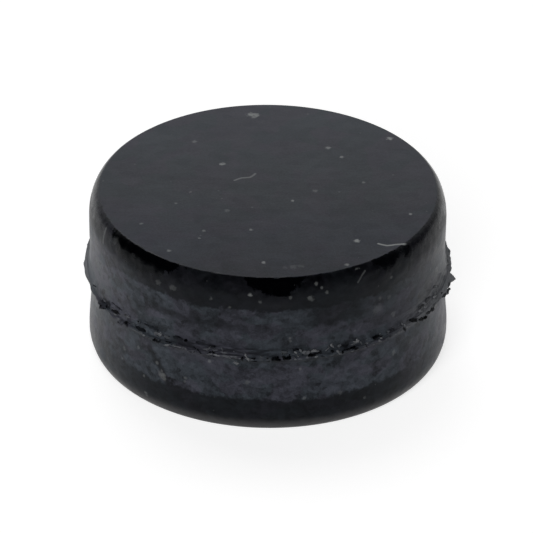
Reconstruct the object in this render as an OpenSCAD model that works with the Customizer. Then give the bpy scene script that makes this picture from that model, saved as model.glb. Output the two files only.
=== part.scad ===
// Small solid rubber hockey puck, moulded in a two-part tool, with the torn
// flash that is left round its parting line.
// It lies flat: +Z is up, and the origin is the middle of its underside.

/* [Puck] */
// Diameter of the puck over its lower half
puck_d = 25.4; // [22:0.1:28]
// Thickness from face to face
puck_h = 12.2; // [10:0.1:14]
// How much smaller the radius of the upper half is
upper_draw = 0.08; // [0:0.02:0.2]
// How far the lower half draws in towards the parting line
lower_waist = 0.18; // [0:0.02:0.24]
// How far the upper half draws in towards the parting line
upper_waist = 0.04; // [0:0.02:0.2]

/* [Rims] */
// Reach of the upper rim's rounding, in from the wall
top_rim_in = 0.7; // [0.4:0.02:1.2]
// Reach of the upper rim's rounding, down the wall
top_rim_down = 1.9; // [1:0.1:2.4]
// Reach of the lower rim's rounding, in from the wall
base_rim_in = 0.56; // [0.4:0.02:1.2]
// Reach of the lower rim's rounding, up the wall
base_rim_up = 1.4; // [1:0.1:2.4]
// How much of a quarter round the rims sweep, in degrees: less leaves a crisper edge
rim_sweep = 74; // [60:1:90]

/* [Parting line] */
// How far the flare stands out where it meets the flash, beyond the radius of the lower half
lip_out = 0.1; // [0.04:0.02:0.2]
// How far the flare runs down the lower half
lower_lip_h = 0.62; // [0.4:0.02:0.8]
// How far the flare runs up the upper half, where it is gentler
upper_lip_h = 0.94; // [0.6:0.02:1.2]
// Thickness of the flash
flash_t = 0.2; // [0.1:0.02:0.24]
// Usual reach of the flash beyond the flare, front and back
flash_reach = 0.12; // [0.1:0.02:0.3]
// How much further the flash reaches at the sides
side_reach = 0.1; // [0:0.02:0.2]
// Depth of the tearing along the edge of the flash
tear_depth = 0.1; // [0:0.02:0.2]

/* [Hidden] */

puck_r = puck_d / 2;
parting_z = puck_h / 2;
// Where the flare ends and the flash begins, on both halves
root_r = puck_r + lip_out;
// The flash is never torn back further than this
least_reach = 0.06;

// Steps along each rounding, each half of the wall and each flare
rim_steps = 10;
wall_steps = 8;
lip_steps = 6;
// Points round the torn edge
edge_points = 480;
// Flatness of the true rounds, for the interpreter's own mesh
round_fn = 180;

// The stretch that tore cleanly: its middle and half its width, in degrees
calm_angle = 180;
calm_width = 36;

// Waves of the torn edge: [count round the puck, start in degrees, share of tear_depth]
tear_waves = [
    [2, 35, 0.30], [5, 80, 0.30], [11, 15, 0.34], [23, 140, 0.30],
    [41, 60, 0.26], [67, 200, 0.22], [109, 20, 0.16],
];
// Torn tags that stand out of the edge: [angle, half width in degrees, height]
tags = [
    [351.8, 2.8, 0.36], [343.2, 2.4, 0.24], [348.4, 8.0, 0.13], [7.4, 2.0, 0.10],
    [163, 9.0, 0.12], [180.9, 1.6, 0.07], [214, 1.6, 0.12], [236, 2.6, 0.10],
    [262, 1.6, 0.10], [289, 1.8, 0.12], [309, 1.6, 0.10], [327, 1.8, 0.10],
    [34, 1.8, 0.26], [71, 1.6, 0.30], [118, 2.2, 0.22], [149, 1.6, 0.24],
];
// Stretches torn back towards the wall: [angle, half width in degrees, depth]
nicks = [
    [4, 16.0, 0.10], [359.6, 2.6, 0.08], [11, 2.6, 0.04], [192.6, 4.4, 0.14],
    [201, 4.0, 0.10], [176.4, 3.4, 0.03], [226, 2.2, 0.08], [249, 2.0, 0.08],
    [274, 2.4, 0.10], [299, 1.8, 0.08], [318, 2.2, 0.10], [335, 2.0, 0.10],
    [20, 2.6, 0.12], [52, 3.0, 0.12], [95, 2.6, 0.10], [134, 3.0, 0.12],
];

// The waists keep close to the parting line: 1 would spread them evenly up the wall
waist_power = 1.6;
// How hollow the flares are: 1 would be a straight cone
lower_hollow = 2;
upper_hollow = 1.5;

// Radius of a half before its waist and flare: way is 1 for the upper half, -1 for the lower
function half_r(way) = way > 0 ? puck_r - upper_draw : puck_r;
function waist(way) = way > 0 ? upper_waist : lower_waist;
function lip_h(way) = way > 0 ? upper_lip_h : lower_lip_h;
function hollow(way) = way > 0 ? upper_hollow : lower_hollow;

// Radius of the wall of a half: drawn in smoothly from its rim to the parting line
function wall_r(z, rim_z, way) =
    let (away = pow((z - parting_z) / (rim_z - parting_z), waist_power))
    half_r(way) - waist(way) * (1 + cos(180 * away)) / 2;

// Extra radius of the flare: a hollow curve from nothing out to the root of the flash
function lip(z, way) =
    let (rise = 1 - (abs(z - parting_z) - flash_t / 2) / (lip_h(way) - flash_t / 2))
    (root_r - half_r(way) + waist(way)) * pow(max(0, rise), hollow(way));

// Rim from the wall to the flat face: part of a quarter ellipse, ended in a soft edge
function rim(way, face_z, inward, along) =
    [for (i = [0:rim_steps])
        let (a = rim_sweep * i / rim_steps)
        [half_r(way) - inward * (1 - cos(a)) / (1 - cos(rim_sweep)),
         face_z - way * along * (1 - sin(a) / sin(rim_sweep))]];

// Even steps from one height to another, without the first
function heights(from_z, to_z, steps) =
    [for (i = [1:steps]) from_z + (to_z - from_z) * i / steps];

// Wall from the end of a rim to the root of the flash
function wall(way, rim_z) =
    [for (z = concat(
            heights(rim_z, parting_z + way * lip_h(way), wall_steps),
            heights(parting_z + way * lip_h(way), parting_z + way * flash_t / 2, lip_steps)))
        [wall_r(z, rim_z, way) + lip(z, way), z]];

function reversed(points) = [for (i = [len(points) - 1:-1:0]) points[i]];

// Half profile of the puck below the parting line, from the underside up
function lower_profile() = concat(
    [[0, 0]],
    reversed(rim(-1, 0, base_rim_in, base_rim_up)),
    wall(-1, base_rim_up)
);

// Half profile of the puck above the parting line, from the top face down
function upper_profile() = concat(
    [[0, puck_h]],
    reversed(rim(1, puck_h, top_rim_in, top_rim_down)),
    wall(1, puck_h - top_rim_down)
);

// Shortest turn between two angles, in degrees
function turn(a, b) = abs(((a - b) % 360 + 540) % 360 - 180);

function sum(list, i = 0) = i == len(list) ? 0 : list[i] + sum(list, i + 1);

// Sum, at an angle, of the peaks in a list of [angle, half width, height]
function peaks(list, a) =
    sum([for (p = list) p[2] * max(0, 1 - turn(a, p[0]) / p[1])]);

function waves(a) = sum([for (w = tear_waves) w[2] * sin(w[0] * a + w[1])]);

// Share of the tearing that an angle gets: little along the clean stretch
function torn(a) = min(1, 0.15 + pow(turn(a, calm_angle) / calm_width, 2));

// Reach of the flash beyond the flare where it isn't torn: most at the two sides
function whole(a) = flash_reach + side_reach * (1 + cos(2 * a)) / 2;

// Reach of the flash beyond the flare at an angle
function reach(a) =
    max(least_reach,
        whole(a) + tear_depth * torn(a) * waves(a) + peaks(tags, a) - peaks(nicks, a));

module puck_body() {
    color([0.15, 0.15, 0.16])
        rotate_extrude($fn = round_fn)
            polygon(concat(lower_profile(), reversed(upper_profile())));
}

module parting_flash() {
    color([0.2, 0.2, 0.21])
        translate([0, 0, parting_z - flash_t / 2])
            linear_extrude(flash_t)
                difference() {
                    polygon([for (i = [0:edge_points - 1])
                        let (a = 360 * i / edge_points, r = root_r + reach(a))
                        [r * cos(a), r * sin(a)]]);
                    circle(r = root_r, $fn = round_fn);
                }
}

puck_body();
parting_flash();
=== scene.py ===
import math
import random
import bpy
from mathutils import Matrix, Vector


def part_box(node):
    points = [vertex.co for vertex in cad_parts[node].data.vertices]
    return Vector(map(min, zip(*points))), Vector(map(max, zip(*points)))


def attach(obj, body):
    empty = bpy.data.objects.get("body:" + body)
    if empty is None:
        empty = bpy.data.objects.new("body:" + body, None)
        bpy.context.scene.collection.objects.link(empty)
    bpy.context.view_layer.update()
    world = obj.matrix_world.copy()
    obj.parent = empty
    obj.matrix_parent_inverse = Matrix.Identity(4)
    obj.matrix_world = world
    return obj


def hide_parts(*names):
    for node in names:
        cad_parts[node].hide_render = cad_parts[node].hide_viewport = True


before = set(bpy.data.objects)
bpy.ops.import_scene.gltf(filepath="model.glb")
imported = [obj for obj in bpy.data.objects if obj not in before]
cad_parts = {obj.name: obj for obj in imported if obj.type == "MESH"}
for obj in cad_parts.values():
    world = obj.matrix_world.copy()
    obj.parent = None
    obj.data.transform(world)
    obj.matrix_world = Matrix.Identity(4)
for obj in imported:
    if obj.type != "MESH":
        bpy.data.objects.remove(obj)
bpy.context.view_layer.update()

from types import SimpleNamespace

import bpy
from mathutils import Euler, Vector, noise

MM = 0.001


# ---------------------------------------------------------------- sizes taken from the frame

_, body_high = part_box("puck_body")
flash_low, flash_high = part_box("parting_flash")

PUCK_H = body_high.z
PUCK_MIDDLE = Vector((0.0, 0.0, PUCK_H / 2))
PARTING_Z = (flash_low.z + flash_high.z) / 2
FLASH_T = flash_high.z - flash_low.z
# The flash grows out of the widest line of the body
ROOT_R = body_high.x

BODY = "root"


def cad_outline():
    """Outline of the CAD body as (radius, height) in millimetres, from the underside up."""
    widest = {}
    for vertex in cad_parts["puck_body"].data.vertices:
        height = round(vertex.co.z / MM, 4)
        widest[height] = max(widest.get(height, 0.0), math.hypot(vertex.co.x, vertex.co.y) / MM)
    return [(widest[height], height) for height in sorted(widest)]


CAD_OUTLINE = cad_outline()


def radius_at(height):
    """Radius of the CAD body at a height, both in millimetres."""
    for (low_r, low), (high_r, high) in zip(CAD_OUTLINE, CAD_OUTLINE[1:]):
        if height <= high:
            share = (height - low) / (high - low)
            return low_r + (high_r - low_r) * max(0.0, share)
    return CAD_OUTLINE[-1][0]


def spline(points, cuts):
    """A smooth curve through points, with each stretch cut into equal steps."""
    made = []
    for i in range(len(points) - 1):
        p0, p1 = points[max(i - 1, 0)], points[i]
        p2, p3 = points[i + 1], points[min(i + 2, len(points) - 1)]
        for k in range(cuts):
            t = k / cuts
            made.append(tuple(
                0.5 * (2 * b + (c - a) * t + (2 * a - 5 * b + 4 * c - d) * t * t
                       + (3 * b - a - 3 * c + d) * t ** 3)
                for a, b, c, d in zip(p0, p1, p2, p3)))
    return made + [points[-1]]


# ---------------------------------------------------------------- node trees

class Graph:
    """Adds nodes to a tree. An input is a number, a vector, another node's output or nothing."""

    def __init__(self, tree):
        self.tree = tree

    def add(self, kind, *inputs, settings=None, named=None):
        node = self.tree.nodes.new(kind)
        for label, value in (settings or {}).items():
            setattr(node, label, value)
        for place, value in list(enumerate(inputs)) + list((named or {}).items()):
            self.feed(node.inputs[place], value)
        return node

    def feed(self, socket, value):
        if isinstance(value, bpy.types.NodeSocket):
            self.tree.links.new(value, socket)
        elif value is not None:
            socket.default_value = value

    def math(self, operation, *inputs):
        return self.add("ShaderNodeMath", *inputs, settings={"operation": operation}).outputs[0]

    def vector(self, operation, *inputs):
        node = self.add("ShaderNodeVectorMath", *inputs, settings={"operation": operation})
        return node.outputs["Value" if operation in ("LENGTH", "DOT_PRODUCT") else "Vector"]

    def scaled(self, vector, factor):
        settings = {"operation": "SCALE"}
        return self.add("ShaderNodeVectorMath", vector, settings=settings,
                        named={"Scale": factor}).outputs["Vector"]

    def combine(self, x, y, z):
        return self.add("ShaderNodeCombineXYZ", x, y, z).outputs[0]

    def separate(self, vector):
        return self.add("ShaderNodeSeparateXYZ", vector).outputs

    def fold(self, operation, values):
        """One value out of several, each of which is taken in as soon as it is made."""
        found = None
        for value in values:
            found = value if found is None else self.math(operation, found, value)
        return found

    def total(self, values):
        return self.fold("ADD", values)

    def product(self, values):
        return self.fold("MULTIPLY", values)

    def largest(self, values):
        return self.fold("MAXIMUM", values)

    def rest_of(self, share):
        """What a share leaves of a whole."""
        return self.math("SUBTRACT", 1.0, share)

    def around_zero(self, value, amount):
        """A 0 to 1 value made to swing by an amount round zero."""
        return self.math("MULTIPLY", self.math("SUBTRACT", value, 0.5), amount)

    def kept_within(self, value, low, high):
        return self.math("MINIMUM", self.math("MAXIMUM", value, low), high)

    def ramp(self, value, low, high, start=0.0, end=1.0):
        """Smooth step of a value from start at low to end at high, and level beyond them."""
        settings = {"interpolation_type": "SMOOTHSTEP", "clamp": False}
        return self.add("ShaderNodeMapRange", value, low, high, start, end,
                        settings=settings).outputs[0]

    def blend(self, factor, value_a, value_b):
        return self.add("ShaderNodeMix", settings={"data_type": "FLOAT"},
                        named={0: factor, 2: value_a, 3: value_b}).outputs[0]

    def mix(self, factor, colour_a, colour_b):
        return self.add("ShaderNodeMix", settings={"data_type": "RGBA"},
                        named={0: factor, 6: colour_a, 7: colour_b}).outputs[2]

    def noise(self, vector, scale, detail=2.0, roughness=0.5, output="Fac"):
        return self.add("ShaderNodeTexNoise", named={
            "Vector": vector, "Scale": scale, "Detail": detail,
            "Roughness": roughness}).outputs[output]

    def swinging(self, vector, scale, detail, roughness, swing):
        """Noise that swings round zero."""
        return self.around_zero(self.noise(vector, scale, detail, roughness), swing)

    def round_noise(self, place, radius, along, across, detail=3.0, output="Fac"):
        """Noise drawn out round the axis: its size along the round, and across it."""
        flat = self.vector("NORMALIZE", self.vector("MULTIPLY", place, (1.0, 1.0, 0.0)))
        right, back, up = self.separate(place)
        height = self.combine(0.0, 0.0, self.math("DIVIDE", up, across))
        where = self.vector("ADD", self.scaled(flat, self.math("DIVIDE", radius, along)), height)
        out = self.vector("LENGTH", self.combine(right, back, 0.0))
        settings = {"noise_dimensions": "4D"}
        return self.add("ShaderNodeTexNoise", settings=settings, named={
            "Vector": where, "W": self.math("DIVIDE", out, across), "Scale": 1.0,
            "Detail": detail, "Roughness": 0.55}).outputs[output]

    def bump(self, height, depth):
        return self.add("ShaderNodeBump", named={
            "Strength": 1.0, "Distance": depth, "Height": height}).outputs[0]


FLOAT, VECTOR = "NodeSocketFloat", "NodeSocketVector"
INTEGER, MATERIAL, SHAPE = "NodeSocketInt", "NodeSocketMaterial", "NodeSocketGeometry"
HALF_GREY = (0.5, 0.5, 0.5)


def new_tree(name, kind, inputs, outputs):
    """A node group with its sockets.

    Inputs are given as name: (socket type, value), and outputs as name: socket type.
    """
    tree = bpy.data.node_groups.new(name, kind)
    for label, (socket_type, value) in inputs.items():
        socket = tree.interface.new_socket(label, in_out="INPUT", socket_type=socket_type)
        if value is not None:
            socket.default_value = value
    for label, socket_type in outputs.items():
        tree.interface.new_socket(label, in_out="OUTPUT", socket_type=socket_type)
    graph = Graph(tree)
    graph.inside = tree.nodes.new("NodeGroupInput").outputs
    graph.out = tree.nodes.new("NodeGroupOutput").inputs
    return graph


# ---------------------------------------------------------------- shader groups

def places_group():
    """Where a point is on the puck, in millimetres, and its degrees round from the front.

    Side Turn counts from the front or the back, whichever is nearer, so that it has no seam.
    """
    g = new_tree("puck_places", "ShaderNodeTree", {}, {
        "Place": VECTOR, "Turn": FLOAT, "Side Turn": FLOAT, "Height": FLOAT, "Radius": FLOAT})
    coordinates = g.add("ShaderNodeTexCoord").outputs["Object"]
    place = g.scaled(coordinates, 1 / MM)
    right, back, up = g.separate(place)
    front = g.math("MULTIPLY", back, -1.0)
    nearer = g.math("ABSOLUTE", front)
    g.feed(g.out["Place"], place)
    g.feed(g.out["Turn"], g.math("DEGREES", g.math("ARCTAN2", right, front)))
    g.feed(g.out["Side Turn"], g.math("DEGREES", g.math("ARCTAN2", right, nearer)))
    g.feed(g.out["Height"], up)
    g.feed(g.out["Radius"], g.vector("LENGTH", g.combine(right, back, 0.0)))
    return g.tree


def flattened(g):
    """Place in a pattern that is drawn out round the puck and shifted by its seed."""
    spread = g.combine(1.0, 1.0, g.inside["Flatness"])
    shift = g.combine(g.inside["Seed"], 0.0, g.inside["Seed"])
    return g.vector("ADD", g.vector("MULTIPLY", g.inside["Place"], spread), shift)


def mottle_group():
    """Soft patches of a stated size, stretched round the puck, with an even level as the mean."""
    g = new_tree("mottle", "ShaderNodeTree", {
        "Place": (VECTOR, None), "Patch Size": (FLOAT, 1.0), "Flatness": (FLOAT, 1.0),
        "Softness": (FLOAT, 0.2), "Seed": (FLOAT, 0.0)}, {"Mask": FLOAT})
    level = g.noise(flattened(g), g.math("DIVIDE", 1.0, g.inside["Patch Size"]), 4.0, 0.62)
    low = g.math("SUBTRACT", 0.5, g.inside["Softness"])
    high = g.math("ADD", 0.5, g.inside["Softness"])
    g.feed(g.out["Mask"], g.ramp(level, low, high))
    return g.tree


def patches_group():
    """Angular patches, each with its own level from 0 to 1, as on skin that dried in plates."""
    g = new_tree("patches", "ShaderNodeTree", {
        "Place": (VECTOR, None), "Patch Size": (FLOAT, 1.0), "Flatness": (FLOAT, 1.0),
        "Distortion": (FLOAT, 0.3), "Smoothness": (FLOAT, 0.2), "Seed": (FLOAT, 0.0)},
        {"Level": FLOAT})
    size = g.inside["Patch Size"]
    seeded = flattened(g)
    swirl = g.noise(seeded, g.math("DIVIDE", 1.4, size), 3.0, output="Color")
    bend = g.math("MULTIPLY", g.inside["Distortion"], size)
    bent = g.vector("ADD", seeded, g.scaled(g.vector("SUBTRACT", swirl, HALF_GREY), bend))
    cells = g.add("ShaderNodeTexVoronoi", settings={"feature": "SMOOTH_F1"}, named={
        "Vector": bent, "Scale": g.math("DIVIDE", 1.0, size),
        "Smoothness": g.inside["Smoothness"]}).outputs["Color"]
    g.feed(g.out["Level"], g.add("ShaderNodeSeparateColor", cells).outputs[0])
    return g.tree


def band_group():
    """A band between two levels of a value, with soft edges."""
    g = new_tree("band", "ShaderNodeTree", {
        "Value": (FLOAT, 0.0), "From": (FLOAT, 0.0), "To": (FLOAT, 1.0),
        "Softness": (FLOAT, 0.1)}, {"Mask": FLOAT})
    value, soft = g.inside["Value"], g.inside["Softness"]
    above = g.ramp(value, g.math("SUBTRACT", g.inside["From"], soft),
                   g.math("ADD", g.inside["From"], soft))
    below = g.ramp(value, g.math("SUBTRACT", g.inside["To"], soft),
                   g.math("ADD", g.inside["To"], soft), 1.0, 0.0)
    g.feed(g.out["Mask"], g.math("MULTIPLY", above, below))
    return g.tree


def fleck_group():
    """One fleck of dust at a stated place, with a ragged edge."""
    g = new_tree("fleck", "ShaderNodeTree", {
        "Place": (VECTOR, None), "Centre": (VECTOR, None), "Radius": (FLOAT, 0.2),
        "Ragged": (FLOAT, 0.0), "Strength": (FLOAT, 1.0)}, {"Mask": FLOAT})
    away = g.vector("LENGTH", g.vector("SUBTRACT", g.inside["Place"], g.inside["Centre"]))
    share = g.math("DIVIDE", away, g.inside["Radius"])
    spot = g.ramp(g.math("ADD", share, g.inside["Ragged"]), 1.25, 0.3)
    g.feed(g.out["Mask"], g.math("MULTIPLY", spot, g.inside["Strength"]))
    return g.tree


def strand_group():
    """One straight stretch of a fibre or scrape between two points."""
    g = new_tree("strand", "ShaderNodeTree", {
        "Place": (VECTOR, None), "Start": (VECTOR, None), "End": (VECTOR, None),
        "Width": (FLOAT, 0.1), "Strength": (FLOAT, 1.0)}, {"Mask": FLOAT})
    along = g.vector("SUBTRACT", g.inside["End"], g.inside["Start"])
    reach = g.vector("SUBTRACT", g.inside["Place"], g.inside["Start"])
    share = g.math("DIVIDE", g.vector("DOT_PRODUCT", reach, along),
                   g.vector("DOT_PRODUCT", along, along))
    nearest = g.scaled(along, g.kept_within(share, 0.0, 1.0))
    away = g.vector("LENGTH", g.vector("SUBTRACT", reach, nearest))
    half = g.math("MULTIPLY", g.inside["Width"], 0.5)
    line = g.ramp(g.math("DIVIDE", away, half), 1.3, 0.3)
    g.feed(g.out["Mask"], g.math("MULTIPLY", line, g.inside["Strength"]))
    return g.tree


def specks_group():
    """Random specks of dust: one in some of the cells of a pattern, each with its own size."""
    g = new_tree("specks", "ShaderNodeTree", {
        "Place": (VECTOR, None), "Cell Size": (FLOAT, 1.0), "Radius": (FLOAT, 0.1),
        "Share": (FLOAT, 0.3)}, {"Mask": FLOAT})
    cells = g.add("ShaderNodeTexVoronoi", named={
        "Vector": g.inside["Place"], "Scale": g.math("DIVIDE", 1.0, g.inside["Cell Size"])})
    chance = g.add("ShaderNodeSeparateColor", cells.outputs["Color"]).outputs
    chosen = g.math("LESS_THAN", chance[0], g.inside["Share"])
    radius = g.math("DIVIDE", g.math("MULTIPLY", g.inside["Radius"], chance[1]),
                    g.inside["Cell Size"])
    inner = g.math("MULTIPLY", radius, 0.5)
    spot = g.ramp(cells.outputs["Distance"], radius, inner)
    g.feed(g.out["Mask"], g.math("MULTIPLY", spot, chosen))
    return g.tree


GROUP_MAKERS = {"puck_places": places_group, "mottle": mottle_group, "patches": patches_group,
                "band": band_group, "fleck": fleck_group, "strand": strand_group,
                "specks": specks_group}
made_groups = {}


def use(g, name, **inputs):
    """Places a shader group in a material and feeds its inputs. Each group is built once."""
    if name not in made_groups:
        made_groups[name] = GROUP_MAKERS[name]()
    node = g.tree.nodes.new("ShaderNodeGroup")
    node.node_tree = made_groups[name]
    for label, value in inputs.items():
        g.feed(node.inputs[label.replace("_", " ")], value)
    return node.outputs if len(node.outputs) > 1 else node.outputs[0]


def new_material(name, roughness, specular):
    """A material with its shader, to which the caller feeds colour, roughness and bump."""
    material = bpy.data.materials.new(name)
    material.use_nodes = True
    g = Graph(material.node_tree)
    material.node_tree.nodes.clear()
    shader = g.add("ShaderNodeBsdfPrincipled", named={
        "Roughness": roughness, "Specular IOR Level": specular, "Specular Tint": SHEEN})
    g.feed(g.add("ShaderNodeOutputMaterial").inputs["Surface"], shader.outputs[0])
    return material, g, shader


# ---------------------------------------------------------------- marks on the puck, in millimetres

def on_wall(turn, height):
    """Point of the wall at a turn in degrees from the front and a height."""
    angle, radius = math.radians(turn), radius_at(height)
    return (radius * math.sin(angle), -radius * math.cos(angle), height)


TOP = PUCK_H / MM
# Flecks of dust on the top face: (right, back, radius, strength)
TOP_FLECKS = [
    (-1.3, 10.5, 0.30, 0.85), (-0.95, 10.45, 0.30, 0.80), (-1.1, 10.2, 0.24, 0.60),
    (8.6, 7.3, 0.24, 0.95),
    (-3.3, 3.5, 0.22, 0.80), (-5.3, 6.6, 0.22, 0.35), (4.2, 5.9, 0.22, 0.60), (5.2, 4.6, 0.18, 0.60),
    (6.7, 1.1, 0.14, 0.35), (3.3, -0.1, 0.2, 0.25), (1.7, -1.5, 0.14, 0.65), (10.0, -3.2, 0.15, 0.70),
    (-2.9, -2.9, 0.2, 0.22), (-8.9, -4.8, 0.15, 0.35), (-1.2, -5.5, 0.16, 0.50),
    (-4.5, -5.7, 0.16, 0.40), (-4.8, -6.7, 0.12, 0.35), (-6.9, -8.4, 0.18, 0.45),
    (-0.3, -9.9, 0.17, 0.65), (6.2, -6.9, 0.23, 0.90), (5.5, -10.1, 0.18, 0.50),
    (6.3, -10.5, 0.22, 0.85), (-5.5, -0.4, 0.12, 0.3), (-6.5, -2.0, 0.12, 0.3),
    (1.2, -10.55, 0.24, 0.08), (1.75, -10.45, 0.30, 0.12), (2.3, -10.35, 0.24, 0.10),
]
# Fibres on the top face, as points (right, back), with their width and strength
FIBRES = [
    ([(-2.4, 1.25), (-1.9, 1.6), (-1.3, 1.7), (-0.95, 2.2)], 0.2, 0.42),
    ([(7.7, -7.25), (8.3, -7.5), (8.9, -7.35), (9.5, -7.25), (10.3, -6.85)], 0.2, 0.90),
]
# Flecks on the wall: (turn, height, radius, strength)
WALL_FLECKS = [
    (-37.1, 10.6, 0.24, 0.17), (-31.8, 10.6, 0.26, 0.18), (-30.9, 10.6, 0.20, 0.14),
    (-18.1, 10.5, 0.14, 0.18), (-12.0, 10.0, 0.12, 0.20), (-5.5, 11.1, 0.15, 0.55),
    (-2.4, 10.6, 0.14, 0.18), (7.2, 10.9, 0.14, 0.20), (13.6, 10.75, 0.22, 0.26),
    (14.2, 10.6, 0.16, 0.18), (15.9, 11.7, 0.14, 0.28), (17.6, 11.4, 0.11, 0.26),
    (19.1, 11.0, 0.14, 0.24), (43.2, 10.6, 0.13, 0.24), (38.6, 9.3, 0.16, 0.20),
    (42.2, 9.1, 0.20, 0.16), (37.6, 8.5, 0.42, 0.14), (44.6, 7.5, 0.24, 0.24),
    (7.2, 7.6, 0.13, 0.24), (7.3, 7.4, 0.12, 0.18), (-27.1, 3.5, 0.15, 0.26),
    (-27.3, 3.2, 0.12, 0.18), (-18.7, 5.3, 0.14, 0.34), (-9.9, 5.5, 0.16, 0.26),
    (-46.2, 4.4, 0.17, 0.26), (-53.2, 3.6, 0.18, 0.26), (-53.8, 2.7, 0.14, 0.26),
    (-42.3, 1.1, 0.16, 0.32), (-42.0, 0.9, 0.14, 0.26), (-43.1, 2.4, 0.13, 0.32),
    (-37.9, 3.9, 0.15, 0.32), (-50.2, 8.1, 0.16, 0.16), (-6.3, 4.0, 0.20, 0.16),
    (45.0, 4.3, 0.20, 0.36), (53.0, 4.4, 0.24, 0.14), (24.0, 2.6, 0.20, 0.14),
    (32.5, 1.7, 0.13, 0.18), (11.9, 2.65, 0.15, 0.22), (10.5, 5.0, 0.14, 0.20),
    (-36.4, 3.15, 0.22, 0.34), (-35.5, 3.05, 0.26, 0.42), (-34.7, 2.85, 0.18, 0.32),
    (-36.0, 3.4, 0.14, 0.26), (-59.3, 11.7, 0.30, 0.10), (-65.1, 10.1, 0.15, 0.24),
]
# Streaks on the wall: (turn and height of each end, width, strength)
WALL_STREAKS = [
    (33.4, 11.8, 32.0, 11.6, 0.15, 0.22), (32.0, 11.6, 30.1, 11.2, 0.15, 0.18),
    (-67.2, 11.75, -66.8, 11.2, 0.24, 0.34), (-66.8, 11.2, -66.4, 10.8, 0.26, 0.42),
]
# Scrapes that took the bloom off, above their smear
SCRAPES = [(-41.2, 4.9, -37.4, 3.8, 0.55, 0.62), (-37.6, 4.0, -33.6, 2.7, 0.60, 0.72)]
# Noise that makes the edges of the flecks ragged: scale, detail, roughness, swing
FLECK_RAGS = (5.0, 2.0, 0.5, 1.7)
# Each stretch between two points of a fibre is cut into this many
FIBRE_CUTS = 2


def wall_streak(g, place, streak):
    """Mask of a streak on the wall, as a row of the tables above gives it."""
    turn, height, end_turn, end_height, width, strength = streak
    return use(g, "strand", Place=place, Start=on_wall(turn, height),
               End=on_wall(end_turn, end_height), Width=width, Strength=strength)


def hand_placed_marks(g, place):
    """Masks of the listed dust and lint, one after another."""
    ragged = g.swinging(place, *FLECK_RAGS)
    spots = [((x, y, TOP), radius, strength) for x, y, radius, strength in TOP_FLECKS]
    spots += [(on_wall(turn, height), radius, strength)
              for turn, height, radius, strength in WALL_FLECKS]
    for centre, radius, strength in spots:
        yield use(g, "fleck", Place=place, Centre=centre, Radius=radius, Ragged=ragged,
                  Strength=strength)
    for points, width, strength in FIBRES:
        bent = spline(points, FIBRE_CUTS)
        for (x0, y0), (x1, y1) in zip(bent, bent[1:]):
            yield use(g, "strand", Place=place, Start=(x0, y0, TOP), End=(x1, y1, TOP),
                      Width=width, Strength=strength)
    for streak in WALL_STREAKS:
        yield wall_streak(g, place, streak)


# ---------------------------------------------------------------- materials

# Where no comment says otherwise, four numbers in a row feed a ramp: from, to, value at from, value
# at to. Two numbers are its from and to only. Lengths are in millimetres and turns in degrees from
# the front, apart from the depths of relief, which are in metres

# Linear colours of the rubber and of what lies on it
CLEAN = (0.0004, 0.0005, 0.0009, 1)
BLOOM_COOL = (0.0715, 0.0830, 0.0995, 1)
BLOOM_WARM = (0.0810, 0.0825, 0.1050, 1)
SCUFFED = (0.0900, 0.0870, 0.0880, 1)
DUST = (0.2400, 0.2500, 0.2500, 1)
# Painted highlight: a pale grey that stands in for the grazing light on the flare and flash at the
# sides
PAINTED_HIGHLIGHT_GREY = (0.1680, 0.1740, 0.1840, 1)
# Pale torn rubber, which is also painted highlight on torn edges that catch the light
PALE = (0.1750, 0.1800, 0.1900, 1)
# A little blue in what the rubber mirrors, and how strongly it mirrors
SHEEN = (0.86, 0.92, 1.0, 1)
GLOSS_LEVEL = 0.1

# Patterns of the skin. Flatness draws a pattern out round the puck
PLATES = {"Patch_Size": 0.85, "Flatness": 1.25, "Distortion": 0.55, "Smoothness": 0.35, "Seed": 3.0}
CHIPS = {"Patch_Size": 0.36, "Flatness": 1.2, "Distortion": 0.6, "Smoothness": 0.35, "Seed": 17.0}
HUES = {"Patch_Size": 1.5, "Flatness": 1.5, "Distortion": 0.5, "Smoothness": 0.25, "Seed": 29.0}
CLOUDS = {"Patch_Size": 2.4, "Flatness": 2.2, "Softness": 0.35, "Seed": 11.0}
SPECKS = {"Cell_Size": 1.2, "Radius": 0.13, "Share": 0.5}
PINPOINTS = {"Cell_Size": 0.55, "Radius": 0.06, "Share": 0.45}
GRAIN = (8.0, 3.0, 0.7)
# Noises that swing round zero: (scale, detail, roughness, swing)
WANDERS = [(0.45, 2.0, 0.5, 0.6), (2.2, 4.0, 0.65, 0.9)]
FACE_EDGE_WEAR = (2.2, 3.0, 0.65, 0.5)
FACE_CLOUDS = (0.25, 2.0, 0.5, 0.17)
JET_EDGE_RAGS = [(4.5, 3.0, 0.7, 0.9), (1.5, 3.0, 0.6, 1.5)]
JET_SIDE_RAGS = [(0.9, 2.0, 0.5, 7.0), (3.5, 3.0, 0.7, 5.0)]
RIM_DENTS = (1.3, 0.6, 0.5, 5.5)
# Tears, by their length round the puck and their height
BODY_TEARS, FLASH_TEARS = (0.9, 0.2), (0.7, 0.14)
# How far the wander shifts the ends of the torn front, the flare, the jet patches and the scuffs
WANDER_TURN, WANDER_FLARE, WANDER_JET, WANDER_SCUFF = 6.0, 0.12, 0.6, 0.3

# Radius of the flat top face. Its edge is worn off at the front
FACE_R = CAD_OUTLINE[-1][0]
WORN_EDGE, WORN_FRONT = (FACE_R - 0.06, FACE_R + 0.04), (2.0, -4.0)
TOP_SKIN = (TOP - 0.05, TOP - 0.01)
# The far left and right of the wall, under the rim
FAR_LEFT, FAR_RIGHT, UNDER_RIM = (-38.0, -64.0), (38.0, 62.0), (11.0, 10.2)
# The flare at the parting line, and the front stretch where the flash was torn out of it, where
# the flare carries painted shade
FLARE_LOW, FLARE_HIGH, FLARE_SOFT = PARTING_Z / MM + 0.02, PARTING_Z / MM + 0.74, 0.13
TORN_FROM, TORN_TO, TORN_SOFT = -31.0, 4.0, 4.0


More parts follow.
